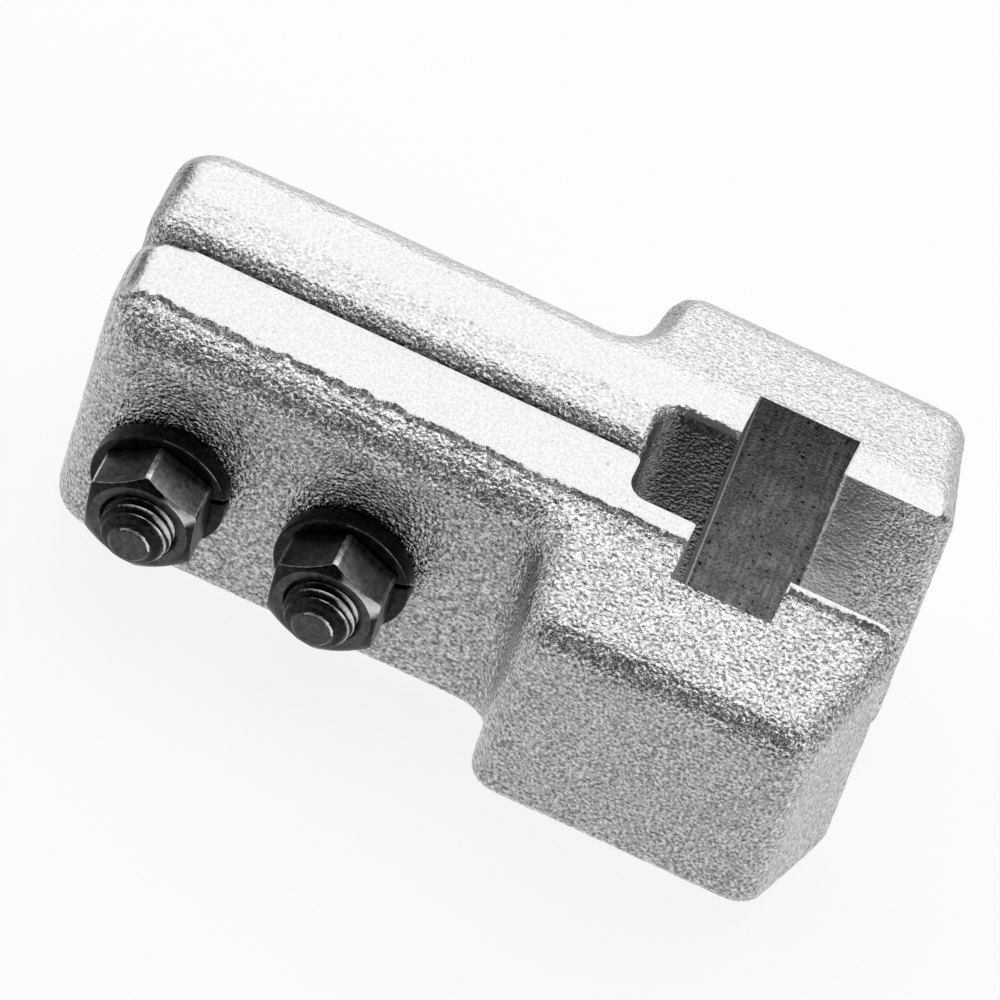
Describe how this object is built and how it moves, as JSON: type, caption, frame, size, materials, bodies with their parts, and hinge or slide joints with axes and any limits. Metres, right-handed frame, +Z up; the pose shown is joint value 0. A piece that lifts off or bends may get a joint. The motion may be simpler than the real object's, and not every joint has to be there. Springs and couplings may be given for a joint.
{
  "type": "split cast clamp",
  "caption": "Cast clamp block split along its length, a cross-shaped opening in its head gripping a profile and bolts through its shank pulling the halves together.",
  "frame": {"origin": "middle of the part's bounding box at its foot, on the split between the halves", "axes": "+X along the block towards its open head, +Y along the bolts towards their heads, +Z up along the opening"},
  "size_m": [0.1378, 0.077, 0.0546],
  "materials": {
    "cast_zinc": "galvanised, pebbly as cast",
    "black_steel": "black oxide, edges worn bright"
  },
  "bodies": {
    "rear_body": {"rear_half": "cast_zinc", "bolt_1": "black_steel", "bolt_2": "black_steel"},
    "front_body": {"front_half": "cast_zinc", "spring_washer_1": "black_steel", "spring_washer_2": "black_steel"},
    "nut_body_1": {"nut_1": "black_steel"},
    "nut_body_2": {"nut_2": "black_steel"}
  },
  "joints": [
    {"name": "jaw_open", "type": "slide", "parent": "rear_body", "child": "front_body", "axis": [0, -1, 0], "range_m": [0, 0.00525]},
    {"name": "nut_1_turn", "type": "hinge", "parent": "front_body", "child": "nut_body_1", "pos_m": [-0.0499, -0.028, 0.0215], "axis": [0, -1, 0], "range_deg": [0, 1080]},
    {"name": "nut_2_turn", "type": "hinge", "parent": "front_body", "child": "nut_body_2", "pos_m": [-0.0178, -0.028, 0.0215], "axis": [0, -1, 0], "range_deg": [0, 1080]}
  ],
  "couplings": [
    {"joint": "nut_1_turn", "follows": "jaw_open", "rad_per_m": 3590.4},
    {"joint": "nut_2_turn", "follows": "jaw_open", "rad_per_m": 3590.4}
  ]
}
